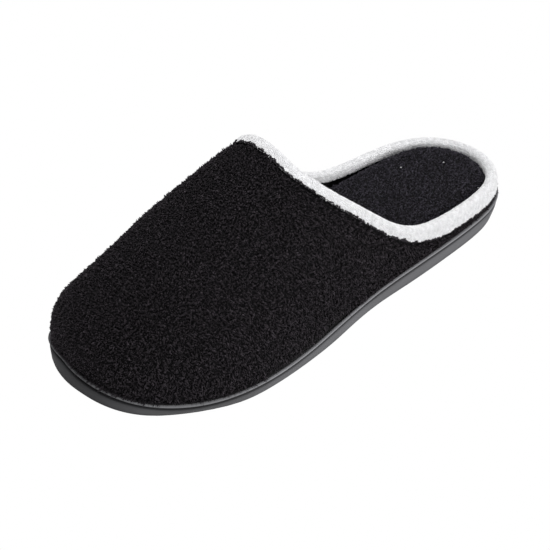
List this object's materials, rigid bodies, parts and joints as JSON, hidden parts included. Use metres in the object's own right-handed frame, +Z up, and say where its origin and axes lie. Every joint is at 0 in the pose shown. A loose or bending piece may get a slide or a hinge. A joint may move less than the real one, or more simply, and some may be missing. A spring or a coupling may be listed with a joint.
{
  "type": "house slipper",
  "caption": "Closed-toe slip-on house slipper with a hollow fleece upper, a low heel rim, a folded binding round the collar, a padded footbed and a moulded sole with a lipped side.",
  "frame": {"origin": "on the floor, under the middle of the slipper's outline", "axes": "+X towards the outer side of the left foot, +Y towards the heel, +Z up; the toe points along -Y"},
  "size_m": [0.1062, 0.28, 0.0884],
  "materials": {
    "sole_rubber": "satin moulded dark grey",
    "fleece_black": "short brushed black pile",
    "fleece_footbed": "flattened black pile",
    "fleece_white": "short white pile"
  },
  "bodies": {
    "root": {"outsole": "sole_rubber", "upper": "fleece_black", "insole": "fleece_footbed", "collar_binding": "fleece_white"}
  },
  "joints": []
}
